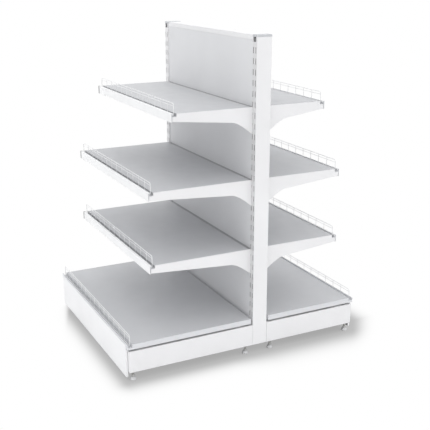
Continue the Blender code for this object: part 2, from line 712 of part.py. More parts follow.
def build_side(builder, side):
    """Build everything that hangs on one side of the back frame."""
    build_panel(builder, side)
    for end in ENDS:
        build_leg(builder, side, end)
    build_kick(builder, side)
    base = side.base_depth
    deck = build_tray(
        builder, f"deck_{side.name}", side, base, base - DECK_LIP_INSET, DECK_LIP_HEIGHT, DECK_FLANGE,
        HALF_LENGTH, HALF_LENGTH, DECK_TOP)
    build_fence(builder, f"{side.name}_base", side, base, HALF_LENGTH, deck)
    for tier, (front, slot) in enumerate(zip(side.tier_depths, TIER_SLOTS), start=1):
        name = f"{side.name}_{tier}"
        top = slot_height(slot) + SHELF_ABOVE_SLOT
        for end in ENDS:
            build_bracket(builder, name, side, end, front, top)
        lip_face = front - STRIP_THICKNESS - SEAT_GAP
        shelf = build_tray(
            builder, f"shelf_{name}", side, front, lip_face, LIP_HEIGHT - SEAT_GAP, TRAY_FLANGE,
            TRAY_HALF, BRACKET_OUTER, top)
        build_strip(builder, name, side, front, shelf)
        build_fence(builder, name, side, front, BRACKET_OUTER, shelf)


def main():
    """Build the whole bay."""
    clear_scene()
    builder = Builder()
    for end in ENDS:
        build_upright(builder, end)
        build_cap(builder, end)
    for name, half_depth, heights in rail_heights():
        build_rail(builder, name, half_depth, heights)
    for side in SIDES:
        build_side(builder, side)


main()
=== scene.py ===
"""Looks of the double-sided gondola shelving bay.

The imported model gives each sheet-steel piece its shape. This script gives every one of them its finish, makes
the round wires of the fences and the turned and threaded levelling feet, and sets up the studio.
"""

import logging
import math
from collections.abc import Iterator
from dataclasses import dataclass
from enum import Enum

import bmesh
import bpy
from mathutils import Matrix, Vector


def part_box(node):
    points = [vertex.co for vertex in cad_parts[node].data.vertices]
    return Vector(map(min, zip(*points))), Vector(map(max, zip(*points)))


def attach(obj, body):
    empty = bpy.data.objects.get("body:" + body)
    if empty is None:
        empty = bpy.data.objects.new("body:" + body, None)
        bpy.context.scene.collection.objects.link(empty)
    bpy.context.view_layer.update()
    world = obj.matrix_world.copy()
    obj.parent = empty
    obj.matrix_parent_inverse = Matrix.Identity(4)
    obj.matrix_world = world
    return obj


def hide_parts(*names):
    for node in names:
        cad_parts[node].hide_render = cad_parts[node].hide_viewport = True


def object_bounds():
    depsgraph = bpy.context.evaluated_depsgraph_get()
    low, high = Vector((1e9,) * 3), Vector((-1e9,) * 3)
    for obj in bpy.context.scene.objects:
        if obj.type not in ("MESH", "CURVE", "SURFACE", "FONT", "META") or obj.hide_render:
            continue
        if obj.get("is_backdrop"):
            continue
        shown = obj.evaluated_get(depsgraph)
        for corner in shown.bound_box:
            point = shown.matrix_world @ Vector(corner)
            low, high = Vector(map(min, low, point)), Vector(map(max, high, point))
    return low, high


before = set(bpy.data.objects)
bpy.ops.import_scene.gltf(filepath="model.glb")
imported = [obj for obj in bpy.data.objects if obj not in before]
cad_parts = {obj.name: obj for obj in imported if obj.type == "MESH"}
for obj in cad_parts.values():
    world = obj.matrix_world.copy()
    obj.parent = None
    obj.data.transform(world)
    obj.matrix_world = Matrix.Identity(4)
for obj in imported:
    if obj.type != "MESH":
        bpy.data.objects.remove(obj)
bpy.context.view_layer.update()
LOG = logging.getLogger("gondola_shelving")

Colour = tuple[float, float, float]
Socket = bpy.types.NodeSocket
Setting = float | int | bool | str | tuple[float, ...] | bpy.types.Material | Socket

WHITE = (1.0, 1.0, 1.0, 1.0)
UNIT = (0.0, 1.0)
# The values of a noise between which a tone or a sheen changes.
TONE_BAND = (0.35, 0.65)
SHEEN_BAND = (0.3, 0.7)
# How far a normal leans one way before its face counts as turned that way, and when it fully does.
TURNED_BAND = (0.70, 0.95)
EDGE_SAMPLES = 4
# The places of a Mix node's colour sockets.
MIX_FIRST, MIX_SECOND, MIX_RESULT = 6, 7, 2
MERGE_DISTANCE = 1e-6


class Side(Enum):
    """The two faces of the bay, with the way each one looks along Y."""

    DEEP = ("deep", -1)
    SHALLOW = ("shallow", 1)

    @property
    def label(self) -> str:
        """The side's part of a node's name."""
        return self.value[0]

    @property
    def sign(self) -> int:
        """The way the side looks along Y."""
        return self.value[1]


class End(Enum):
    """The two ends of the bay along X."""

    LEFT = "left"
    RIGHT = "right"


class Tier(Enum):
    """The levels that carry goods, from the floor up."""

    BASE = "base"
    FIRST = "1"
    SECOND = "2"
    THIRD = "3"

    @property
    def is_shelf(self) -> bool:
        """True for a bracket shelf, false for the base deck."""
        return self is not Tier.BASE


class Coat(Enum):
    """The record's material slots of the pieces that are made here."""

    WIRE = "wire_white"
    FOOT = "foot_plastic"


class Graph:
    """Adds nodes to one node tree and joins their sockets."""

    def __init__(self, tree: bpy.types.NodeTree) -> None:
        """Keep the tree that the nodes go into."""
        self.tree = tree

    def add(
        self, kind: str, inputs: dict[str | int, Setting] | None = None, **settings: Setting,
    ) -> bpy.types.Node:
        """Add one node.

        Args:
            kind: Blender's name for the node's type.
            inputs: a value or an output socket for each input that isn't left at its default.
            **settings: the node's own properties.

        Returns:
            The new node.
        """
        node = self.tree.nodes.new(kind)
        for key, value in settings.items():
            setattr(node, key, value)
        for key, value in (inputs or {}).items():
            self.feed(node.inputs[key], value)
        return node

    def feed(self, socket: Socket, value: Setting) -> None:
        """Give an input a value, or join it to an output.

        Args:
            socket: the input.
            value: a plain value, or the output socket that drives the input.
        """
        if isinstance(value, bpy.types.NodeSocket):
            self.tree.links.new(value, socket)
        else:
            socket.default_value = value

    def math(self, operation: str, first: Setting, second: Setting = 0.0) -> Socket:
        """Return the output of a Math node, from its operation and one or two values or sockets."""
        return self.add("ShaderNodeMath", {0: first, 1: second}, operation=operation).outputs[0]

    def span(self, value: Socket, source: tuple[float, float], target: tuple[float, float]) -> Socket:
        """Return a value mapped from one range to another, held at the ends.

        Args:
            value: the socket that is mapped.
            source: the range that it is read over.
            target: the range that it is given.

        Returns:
            The mapped value's socket.
        """
        node = self.add("ShaderNodeMapRange", {
            "Value": value, "From Min": source[0], "From Max": source[1],
            "To Min": target[0], "To Max": target[1],
        })
        return node.outputs["Result"]

    def within(self, value: Socket, middle: float, half: float) -> Socket:
        """Return 1 where a value is less than half a width from the middle of a band, and 0 elsewhere."""
        return self.math("LESS_THAN", self.math("ABSOLUTE", self.math("SUBTRACT", value, middle)), half)

    def past(self, value: Setting, edge: Setting) -> Socket:
        """Return how far a value is past an edge, and 0 before it."""
        return self.math("MAXIMUM", self.math("SUBTRACT", value, edge), 0.0)

    def noise(self, place: Socket, size: float, layers: float) -> Socket:
        """Return a noise of some layers, whose spots are about one size in metres."""
        node = self.add("ShaderNodeTexNoise", {"Vector": place, "Scale": 1.0 / size, "Detail": layers})
        return node.outputs["Fac"]

    def mix(self, share: Socket, first: Setting, second: Setting) -> Socket:
        """Return a mix of two colours.

        Args:
            share: how much of the second colour shows.
            first: the first colour or its socket.
            second: the second colour or its socket.

        Returns:
            The mixed colour's socket.
        """
        node = self.add("ShaderNodeMix", {0: share}, data_type="RGBA")
        self.feed(node.inputs[MIX_FIRST], first)
        self.feed(node.inputs[MIX_SECOND], second)
        return node.outputs[MIX_RESULT]

    def axes(self, vector: Socket) -> dict[str, Socket]:
        """Return the sockets of a vector's X, Y and Z, by name."""
        outputs = self.add("ShaderNodeSeparateXYZ", {0: vector}).outputs
        return {axis: outputs[axis] for axis in "XYZ"}


class Surface(Graph):
    """The nodes of one material, with its shader and its object coordinates in metres."""

    def __init__(self, material: bpy.types.Material) -> None:
        """Start from the material's own shader.

        Args:
            material: the material, which already uses nodes.
        """
        super().__init__(material.node_tree)
        self.shader = self.tree.nodes["Principled BSDF"]
        self.place = self.add("ShaderNodeTexCoord").outputs["Object"]

    def set(self, name: str, value: Setting) -> None:
        """Give one of the shader's inputs a value or a socket."""
        self.feed(self.shader.inputs[name], value)

    def spots(self, size: float, layers: float = 2.0) -> Socket:
        """Return a noise of some layers over the surface, whose spots are about one size in metres."""
        return self.noise(self.place, size, layers)

    def flat(self) -> Socket:
        """Return the surface's own normal."""
        return self.add("ShaderNodeNewGeometry").outputs["True Normal"]

    def rounded(self, radius: float) -> Socket:
        """Return the surface's normal, softened at its edges."""
        return self.add("ShaderNodeBevel", {"Radius": radius}, samples=EDGE_SAMPLES).outputs["Normal"]

    def turned(self, colour: Socket, facing: Socket, shade: float) -> Socket:
        """Return a colour that is shaded on the faces that look one way.

        Args:
            colour: the colour's socket.
            facing: the normal's part along that way.
            shade: what the colour is multiplied by there.

        Returns:
            The shaded colour's socket.
        """
        level = self.span(facing, TURNED_BAND, (1.0, shade))
        node = self.add("ShaderNodeVectorMath", {0: colour, "Scale": level}, operation="SCALE")
        return node.outputs["Vector"]

    def emboss(self, height: Socket, depth: float, strength: float, normal: Socket) -> None:
        """Make the shader's normal uneven.

        Args:
            height: the height's socket, from 0 to 1.
            depth: how deep it is in metres.
            strength: how much of it shows.
            normal: the even normal's socket.
        """
        node = self.add("ShaderNodeBump", {
            "Strength": strength, "Distance": depth, "Height": height, "Normal": normal,
        })
        self.set("Normal", node.outputs["Normal"])


def shaded(colour: Colour, factor: float) -> tuple[float, float, float, float]:
    """Return a colour with each channel multiplied by a factor, and with full alpha."""
    red, green, blue = (min(1.0, channel * factor) for channel in colour)
    return red, green, blue, 1.0


@dataclass(frozen=True)
class Finish:
    """A procedural surface in object space, which can dress any number of pieces.

    Its colour is clouded between two shades, and its roughness can change a little.
    """

    name: str
    colour: Colour
    roughness: float
    cloud_size: float = 0.30
    cloud_layers: float = 2.0
    cloud_shades: tuple[float, float] = (0.98, 1.02)
    sheen_change: tuple[float, float] = (-0.05, 0.06)

    def material(self) -> bpy.types.Material:
        """Return the finish's material, made when it is first asked for.

        Returns:
            The material.
        """
        made = bpy.data.materials.get(self.name)
        if made is None:
            made = bpy.data.materials.new(self.name)
            made.use_nodes = True
            made.diffuse_color = shaded(self.colour, 1.0)
            surface = Surface(made)
            surface.set("Base Color", shaded(self.colour, 1.0))
            surface.set("Roughness", self.roughness)
            self.paint(surface)
        return made

    def paint(self, surface: Surface) -> None:
        """Add the finish's own detail."""
        raise NotImplementedError

    def clouded(self, surface: Surface) -> Socket:
        """Return the finish's colour with its clouds.

        Args:
            surface: the material's nodes.

        Returns:
            The colour's socket.
        """
        clouds = surface.spots(self.cloud_size, self.cloud_layers)
        low, high = (shaded(self.colour, shade) for shade in self.cloud_shades)
        return surface.mix(surface.span(clouds, TONE_BAND, UNIT), low, high)

    def sheen(self, surface: Surface, noise: Socket) -> Socket:
        """Return the finish's roughness, changed by a noise."""
        low, high = (self.roughness + change for change in self.sheen_change)
        return surface.span(noise, SHEEN_BAND, (low, high))


@dataclass(frozen=True)
class PowderCoat(Finish):
    """Satin powder coat on steel: fine orange peel, faint clouding, softened and slightly thin edges.

    The faces that look up can take a painted shade, a little greyer than the folds round them. Specks break up
    the edges.
    """

    cloud_layers: float = 3.0
    # Painted shade on the faces that look up: what their colour is multiplied by.
    top_shade: float = 1.0
    peel_size: float = 0.0014
    peel_height: float = 0.00006
    peel_strength: float = 0.5
    sheen_size: float = 0.06
    edge_radius: float = 0.0012
    edge_shade: float = 0.94
    edge_turn: tuple[float, float] = (0.985, 0.80)
    speck_size: float = 0.0084
    speck_layers: float = 3.0
    speck_band: tuple[float, float] = (0.42, 0.66)
    speck_share: tuple[float, float] = (0.2, 1.0)

    def paint(self, surface: Surface) -> None:
        """Add the coat's peel, clouds and edges.

        Args:
            surface: the material's nodes.
        """
        rounded = surface.rounded(self.edge_radius)
        turn = surface.add("ShaderNodeVectorMath", {0: rounded, 1: surface.flat()}, operation="DOT_PRODUCT")
        specks = surface.spots(self.speck_size, self.speck_layers)
        edge = surface.math("MULTIPLY", surface.span(turn.outputs["Value"], self.edge_turn, UNIT),
                            surface.span(specks, self.speck_band, self.speck_share))
        coat = surface.mix(edge, self.clouded(surface), shaded(self.colour, self.edge_shade))
        surface.set("Base Color", self.tone(surface, coat))
        surface.set("Roughness", self.sheen(surface, surface.spots(self.sheen_size)))
        surface.emboss(surface.spots(self.peel_size), self.peel_height, self.peel_strength, rounded)

    def tone(self, surface: Surface, coat: Socket) -> Socket:
        """Return the coat's colour, with painted shade on the faces that look up."""
        # Faces that look up are painted greyer, as painted shade.
        return surface.turned(coat, surface.axes(surface.flat())["Z"], self.top_shade)


@dataclass(frozen=True)
class TubeCoat(PowderCoat):
    """Powder coat on a slotted tube, with painted shade inside it that makes its slots read dark.

    The tubes stand upright, two alike on either side of X = 0, and the painted shade inside stops short of
    their open tops.
    """

    centre: tuple[float, float] = (0.0, 0.0)
    inside_half: tuple[float, float] = (0.0, 0.0)
    # Painted shade inside the tube below a height, and on the slotted faces.
    bare_top: float = 0.0
    bare_shade: float = 1.0
    rubbed_shade: float = 1.0

    def tone(self, surface: Surface, coat: Socket) -> Socket:
        """Paint shade inside the tube, and paint the slotted faces greyer as the shade of their slots.

        Args:
            surface: the material's nodes.
            coat: the coat's colour.

        Returns:
            The colour's socket.
        """
        place = surface.axes(surface.place)
        across = surface.within(surface.math("ABSOLUTE", place["X"]), self.centre[0], self.inside_half[0])
        along = surface.within(place["Y"], self.centre[1], self.inside_half[1])
        inside = surface.math("MULTIPLY", across, along)
        # Painted shade inside the tube, below the top that stays free of it.
        painted_inside = surface.math("MULTIPLY", inside, surface.math("LESS_THAN", place["Z"], self.bare_top))
        slotted = surface.math("ABSOLUTE", surface.axes(surface.flat())["Y"])
        # Painted shade on the slotted faces, for the shade of their slots.
        slot_shaded = surface.turned(coat, slotted, self.rubbed_shade)
        return surface.mix(painted_inside, slot_shaded, shaded(self.colour, self.bare_shade))


@dataclass(frozen=True)
class PanelCoat(PowderCoat):
    """Powder coat on a back panel, with a painted shadow behind the rear edge of each shelf.

    A painted shadow ends at the top of its shelf.
    """

    shadow_tops: tuple[float, ...] = ()
    shadow_height: float = 0.016
    scuff_shade: float = 0.62

    def tone(self, surface: Surface, coat: Socket) -> Socket:
        """Paint the shadows behind the shelves on the plain coat.

        Args:
            surface: the material's nodes.
            coat: the coat's colour.

        Returns:
            The colour's socket.
        """
        height = surface.axes(surface.place)["Z"]
        half = self.shadow_height / 2
        shadowed = shaded(self.colour, self.scuff_shade)
        shown = coat
        # A band of painted shadow under the top of each shelf.
        for top in self.shadow_tops:
            shown = surface.mix(surface.within(height, top - half, half), shown, shadowed)
        return shown


@dataclass(frozen=True)
class TrayCoat(PowderCoat):
    """Powder coat on a tray, with painted shade on the rear wall of its groove, where the groove lies in shade.

    The wall's middle and half sizes are along Y and Z. The folds at the tray's ends take a little painted
    shade.
    """

    wall: tuple[float, float] = (0.0, 0.0)
    wall_half: tuple[float, float] = (0.0, 0.0)
    # What the painted shade multiplies the colour by, in the groove and on the end folds.
    cushion_shade: float = 0.5
    fold_shade: float = 0.87

    def tone(self, surface: Surface, coat: Socket) -> Socket:
        """Paint shade on the groove's rear wall, on the end folds and on the faces that look up.

        Args:
            surface: the material's nodes.
            coat: the coat's colour.

        Returns:
            The colour's socket.
        """
        place = surface.axes(surface.place)
        across = surface.within(place["Y"], self.wall[0], self.wall_half[0])
        upright = surface.within(place["Z"], self.wall[1], self.wall_half[1])
        # Painted shade on the groove's rear wall.
        groove_shaded = surface.math("MULTIPLY", across, upright)
        plain = super().tone(surface, coat)
        # Painted shade on the folds at the tray's ends.
        ends = surface.math("ABSOLUTE", surface.axes(surface.flat())["X"])
        fold_shaded = surface.turned(plain, ends, self.fold_shade)
        return surface.mix(groove_shaded, fold_shaded, shaded(self.colour, self.cushion_shade))


@dataclass(frozen=True)
class ExtrudedPlastic(Finish):
    """Glossy extruded strip with faint die lines along X, and painted shade at its left end."""

    cloud_size: float = 0.12
    cloud_shades: tuple[float, float] = (0.975, 1.02)
    sheen_change: tuple[float, float] = (-0.04, 0.06)
    end_shade_at: float = 0.0
    stop_shade: float = 0.42
    line_size: float = 0.0011
    line_layers: float = 1.0
    line_stretch: tuple[float, float, float] = (0.01, 1.0, 1.0)
    line_height: float = 0.00003
    line_strength: float = 0.4
    edge_radius: float = 0.0007

    def paint(self, surface: Surface) -> None:
        """Add the die lines, a faint clouding and the painted shade at the left end.

        Args:
            surface: the material's nodes.
        """
        drawn = surface.add("ShaderNodeMapping", {"Vector": surface.place, "Scale": self.line_stretch})
        lines = surface.noise(drawn.outputs["Vector"], self.line_size, self.line_layers)
        # Painted shade on the strip's left end.
        shaded_end = surface.math("LESS_THAN", surface.axes(surface.place)["X"], self.end_shade_at)
        shown = surface.mix(shaded_end, self.clouded(surface), shaded(self.colour, self.stop_shade))
        surface.set("Base Color", shown)
        surface.set("Roughness", self.sheen(surface, lines))
        surface.emboss(lines, self.line_height, self.line_strength, surface.rounded(self.edge_radius))


@dataclass(frozen=True)
class MouldedPlastic(Finish):
    """Matt moulded plastic with a fine spark-eroded grain."""

    cloud_size: float = 0.02
    cloud_shades: tuple[float, float] = (0.95, 1.05)
    sheen_change: tuple[float, float] = (-0.08, 0.08)
    grain_size: float = 0.0007
    grain_layers: float = 3.0
    grain_height: float = 0.00008
    grain_strength: float = 0.6
    edge_radius: float = 0.0008

    def paint(self, surface: Surface) -> None:
        """Add the grain and a faint clouding.

        Args:
            surface: the material's nodes.
        """
        grain = surface.spots(self.grain_size, self.grain_layers)
        surface.set("Base Color", self.clouded(surface))
        surface.set("Roughness", self.sheen(surface, grain))
        surface.emboss(grain, self.grain_height, self.grain_strength, surface.rounded(self.edge_radius))


@dataclass(frozen=True)
class ZincPlate(Finish):
    """Bright zinc plating on a rolled thread."""

    cloud_size: float = 0.003
    cloud_layers: float = 4.0
    cloud_shades: tuple[float, float] = (0.86, 1.08)
    sheen_change: tuple[float, float] = (-0.08, 0.12)

    def paint(self, surface: Surface) -> None:
        """Add the plating's patchy tone.

        Args:
            surface: the material's nodes.
        """
        surface.set("Metallic", 1.0)
        surface.set("Base Color", self.clouded(surface))
        patches = surface.spots(self.cloud_size, self.cloud_layers)
        surface.set("Roughness", self.sheen(surface, patches))


@dataclass(frozen=True)
class StudioFloor(Finish):
    """A pale floor that is seen white, with a painted shadow close to what stands on it, darkest underneath.

    The footprint's low and high corners are along X and Y. Each spread is the length over which the shadow
    fades past one edge. The left edge is moved in, and slants further in past the deep side. The shallow edge
    slants out from the right end as far as its shift. At the right end the spread grows from the deep to the
    shallow half. The open share is the part of the sky that is open from where the shadow underneath is
    fullest to where it ends.
    """

    cloud_size: float = 0.8
    cloud_shades: tuple[float, float] = (0.99, 1.01)
    low: tuple[float, float] = (0.0, 0.0)
    high: tuple[float, float] = (0.0, 0.0)
    deep_spread: float = 0.040
    shallow_spread: float = 0.055
    shallow_shift: float = 0.07
    shallow_slant: float = 0.75
    left_spread: float = 0.042
    left_shift: float = 0.12
    left_slant: float = 2.8
    right_spread: tuple[float, float] = (0.055, 0.076)
    right_blend: float = 0.10
    beside_tone: float = 0.515
    under_reach: float = 0.50
    under_lean: tuple[float, float] = (-0.26, 0.40)
    open_share: tuple[float, float] = (0.05, 0.60)
    under_tone: float = 0.70
    sky_samples: int = 16

    def paint(self, surface: Surface) -> None:
        """Show the floor white to the camera, with a painted shadow of the object. The shader only lights the
        object.

        Args:
            surface: the material's nodes.
        """
        surface.set("Base Color", self.clouded(surface))
        # The camera sees a painted shadow: darker near the footprint and where the sky is closed.
        beside = surface.span(self.nearness(surface), UNIT, (1.0, self.beside_tone))
        under = surface.span(self.open_sky(surface), self.open_share, (self.under_tone, 1.0))
        level = surface.math("MULTIPLY", beside, under)
        seen = surface.add("ShaderNodeEmission", {"Color": WHITE, "Strength": level})
        chosen = surface.add("ShaderNodeMixShader", {
            0: seen_rays(surface), 1: surface.shader.outputs["BSDF"], 2: seen.outputs["Emission"],
        })
        output = surface.tree.nodes["Material Output"]
        surface.feed(output.inputs["Surface"], chosen.outputs["Shader"])

    def nearness(self, surface: Surface) -> Socket:
        """Return 1 where the shadow is full, fading softly to 0 round it.

        Args:
            surface: the material's nodes.

        Returns:
            The nearness's socket.
        """
        place = surface.axes(surface.place)
        along, across = place["X"], place["Y"]
        deep = surface.past(self.low[1], across)
        slant = surface.math("MULTIPLY", surface.math("SUBTRACT", self.high[0], along), self.shallow_slant)
        shift = surface.math("MINIMUM", slant, self.shallow_shift)
        shallow = surface.past(across, surface.math("ADD", shift, self.high[1]))
        moved = surface.math("ADD", surface.math("MULTIPLY", deep, self.left_slant), self.left_shift)
        left = surface.past(surface.math("ADD", moved, self.low[0]), along)
        right = surface.past(along, self.high[0])
        middle = (self.low[1] + self.high[1]) / 2
        blend = (middle - self.right_blend, middle + self.right_blend)
        right_spread = surface.span(across, blend, self.right_spread)
        fades = ((deep, self.deep_spread), (shallow, self.shallow_spread),
                 (left, self.left_spread), (right, right_spread))
        total: Setting = 0.0
        for length, spread in fades:
            square = surface.math("POWER", surface.math("DIVIDE", length, spread), 2.0)
            total = surface.math("ADD", total, square)
        return surface.math("EXPONENT", surface.math("MULTIPLY", total, -0.5))

    def open_sky(self, surface: Surface) -> Socket:
        """Return how much of the sky is open above the floor, about a direction that leans.

        Args:
            surface: the material's nodes.

        Returns:
            The share's socket.
        """
        lean = surface.add("ShaderNodeCombineXYZ", {
            "X": self.under_lean[0], "Y": self.under_lean[1], "Z": 1.0,
        })
        way = surface.add("ShaderNodeVectorMath", {0: lean.outputs["Vector"]}, operation="NORMALIZE")
        sky = surface.add("ShaderNodeAmbientOcclusion", {
            "Distance": self.under_reach, "Normal": way.outputs["Vector"],
        }, samples=self.sky_samples)
        return sky.outputs["AO"]


def seen_rays(graph: Graph) -> Socket:
    """Return 1 for rays that show a background: from the camera, off gloss or through glass.

    Args:
        graph: the nodes that the answer is used in.

    Returns:
        The answer's socket.
    """
    rays = graph.add("ShaderNodeLightPath").outputs
    straight = graph.math("MAXIMUM", rays["Is Camera Ray"], rays["Is Glossy Ray"])
    return graph.math("MAXIMUM", straight, rays["Is Transmission Ray"])


WHITE_FRAME = PowderCoat("white_frame_coat", (0.867, 0.862, 0.87), 0.42)
# The kick plates wear the frame's white painted lighter: painted light on their faces.
KICK_COAT_PAINTED_LIGHTER = PowderCoat("kick_coat_painted_lighter", (0.92, 0.918, 0.927), 0.42)
WHITE_WIRE = PowderCoat("white_wire_coat", (0.86, 0.86, 0.865), 0.38, edge_radius=0.0003)
GREY_CAP = MouldedPlastic("grey_cap_plastic", (0.60, 0.61, 0.63), 0.50)
PALE_FOOT = MouldedPlastic("pale_foot_plastic", (0.70, 0.70, 0.71), 0.48)
ZINC_STUD = ZincPlate("zinc_stud", (0.66, 0.66, 0.64), 0.30)


class Pattern(Graph):
    """A geometry node tree with named sizes, which makes one plain mesh at a time."""

    def __init__(self, name: str) -> None:
        """Start an empty tree.

        Args:
            name: the tree's name.
        """
        super().__init__(bpy.data.node_groups.new(name, "GeometryNodeTree"))
        self.keys: dict[str, str] = {}
        self.start = self.add("NodeGroupInput")
        self.coat = self.size("Coat", "NodeSocketMaterial")

    def size(self, name: str, kind: str = "NodeSocketFloat") -> Socket:
        """Add a named input.

        Args:
            name: the input's name.
            kind: its socket's type.

        Returns:
            The socket that gives the input's value inside the tree.
        """
        item = self.tree.interface.new_socket(name=name, in_out="INPUT", socket_type=kind)
        self.keys[name] = item.identifier
        return self.start.outputs[name]

    def point(self, x: Setting, y: Setting, z: Setting) -> Socket:
        """Return a point made of three values or sockets."""
        return self.add("ShaderNodeCombineXYZ", {0: x, 1: y, 2: z}).outputs[0]

    def tube(self, path: Socket, radius: Setting, sides: Setting) -> Socket:
        """Return a capped round tube along a path.

        Args:
            path: the curve that it follows.
            radius: its radius.
            sides: how many sides it has.

        Returns:
            The tube's socket.
        """
        ring = self.add("GeometryNodeCurvePrimitiveCircle", {"Resolution": sides, "Radius": radius})
        tube = self.add("GeometryNodeCurveToMesh", {
            "Curve": path, "Profile Curve": ring.outputs["Curve"], "Fill Caps": True,
        })
        return tube.outputs["Mesh"]

    def line(self, start: Socket, end: Socket) -> Socket:
        """Return a straight path between two points."""
        return self.add("GeometryNodeCurvePrimitiveLine", {"Start": start, "End": end}).outputs["Curve"]

    def row(self, start: Socket, end: Socket, count: Socket) -> Socket:
        """Return a number of evenly spaced points, from the first to the last."""
        node = self.add("GeometryNodeMeshLine", {
            "Count": count, "Start Location": start, "Offset": end,
        }, mode="END_POINTS")
        return node.outputs["Mesh"]

    def copies(self, points: Socket, piece: Socket) -> Socket:
        """Return a copy of a piece at each point."""
        node = self.add("GeometryNodeInstanceOnPoints", {"Points": points, "Instance": piece})
        return node.outputs["Instances"]

    def close(self, *parts: Socket) -> None:
        """Join the parts, make them real, smooth and coated, and end the tree.

        Args:
            *parts: the geometry that the tree gives.
        """
        joined = self.add("GeometryNodeJoinGeometry")
        for part in parts:
            self.tree.links.new(part, joined.inputs["Geometry"])
        real = self.add("GeometryNodeRealizeInstances", {"Geometry": joined.outputs["Geometry"]})
        smooth = self.add("GeometryNodeSetShadeSmooth", {"Geometry": real.outputs["Geometry"]})
        coated = self.add("GeometryNodeSetMaterial", {
            "Geometry": smooth.outputs["Geometry"], "Material": self.coat,
        })
        self.tree.interface.new_socket(name="Geometry", in_out="OUTPUT", socket_type="NodeSocketGeometry")
        end = self.add("NodeGroupOutput")
        self.tree.links.new(coated.outputs["Geometry"], end.inputs["Geometry"])

    def mesh(self, name: str, sizes: dict[str, float | int], finish: Finish) -> bpy.types.Mesh:
        """Make one plain mesh.

        Args:
            name: the mesh's name.
            sizes: a value for each named input.
            finish: the finish that it carries.

        Returns:
            The mesh, with nothing live left on it.
        """
        holder = bpy.data.objects.new(name, bpy.data.meshes.new(name))
        modifier = holder.modifiers.new(self.tree.name, "NODES")
        modifier.node_group = self.tree
        modifier[self.keys["Coat"]] = finish.material()
        for key, value in sizes.items():
            modifier[self.keys[key]] = value
        bpy.context.scene.collection.objects.link(holder)
        evaluated = holder.evaluated_get(bpy.context.evaluated_depsgraph_get())
        mesh = bpy.data.meshes.new_from_object(evaluated)
        blank = holder.data
        bpy.data.objects.remove(holder)
        bpy.data.meshes.remove(blank)
        mesh.name = name
        return mesh


class FencePattern(Pattern):
    """A welded wire fence: a frame wire bent round at its corners, a rail, and upright wires behind them."""

    WELD_SWELL: float = 1.35
    WELD_FINENESS: int = 2
    BEND_STEPS: int = 8

    def __init__(self) -> None:
        """Build the tree."""
        super().__init__("wire_fence")
        half, depth, behind = map(self.size, ("Half Length", "Depth", "Wire Depth"))
        foot, lower, upper = map(self.size, ("Foot Rail", "Lower Rail", "Upper Rail"))
        bend, rail_radius, wire_radius = map(self.size, ("Bend Radius", "Rail Radius", "Wire Radius"))
        count = self.size("Wires", "NodeSocketInt")
        sides = self.size("Sides", "NodeSocketInt")
        minus = self.math("MULTIPLY", half, -1.0)
        pitch = self.math("DIVIDE", self.math("MULTIPLY", half, 2.0), self.math("ADD", count, 1.0))
        first = self.math("ADD", minus, pitch)
        last = self.math("SUBTRACT", half, pitch)
        height = self.math("SUBTRACT", upper, foot)
        middle = self.math("MULTIPLY", self.math("ADD", upper, foot), 0.5)
        parts = [self.frame_wire(half, height, self.point(0.0, depth, middle), bend, rail_radius, sides)]
        rail = self.line(self.point(minus, depth, lower), self.point(half, depth, lower))
        parts.append(self.tube(rail, wire_radius, sides))
        bead = self.add("GeometryNodeMeshIcoSphere", {
            "Radius": self.math("MULTIPLY", wire_radius, self.WELD_SWELL),
            "Subdivisions": self.WELD_FINENESS,
        }).outputs["Mesh"]
        weld = self.math("MULTIPLY", self.math("ADD", depth, behind), 0.5)
        for level in (foot, lower, upper):
            welds = self.row(self.point(first, weld, level), self.point(last, weld, level), count)
            parts.append(self.copies(welds, bead))
        stem = self.line(self.point(0.0, 0.0, 0.0), self.point(0.0, 0.0, height))
        posts = self.row(self.point(first, behind, foot), self.point(last, behind, foot), count)
        parts.append(self.copies(posts, self.tube(stem, wire_radius, sides)))
        self.close(*parts)

    def frame_wire(
        self, half: Socket, height: Socket, middle: Socket, bend: Socket, radius: Socket, sides: Socket,
    ) -> Socket:
        """Return the closed wire round the fence, bent round at its four corners.

        Args:
            half: half its length along X.
            height: its height.
            middle: its middle.
            bend: the radius of its corners.
            radius: the wire's radius.
            sides: how many sides the wire has.

        Returns:
            The wire's socket.
        """
        outline = self.add("GeometryNodeCurvePrimitiveQuadrilateral", {
            "Width": self.math("MULTIPLY", half, 2.0), "Height": height,
        })
        bent = self.add("GeometryNodeFilletCurve", {
            "Curve": outline.outputs["Curve"], "Radius": bend, "Count": self.BEND_STEPS,
        }, mode="POLY")
        stood = self.add("GeometryNodeTransform", {
            "Geometry": bent.outputs["Curve"], "Translation": middle, "Rotation": (math.pi / 2, 0.0, 0.0),
        })
        return self.tube(stood.outputs["Geometry"], radius, sides)


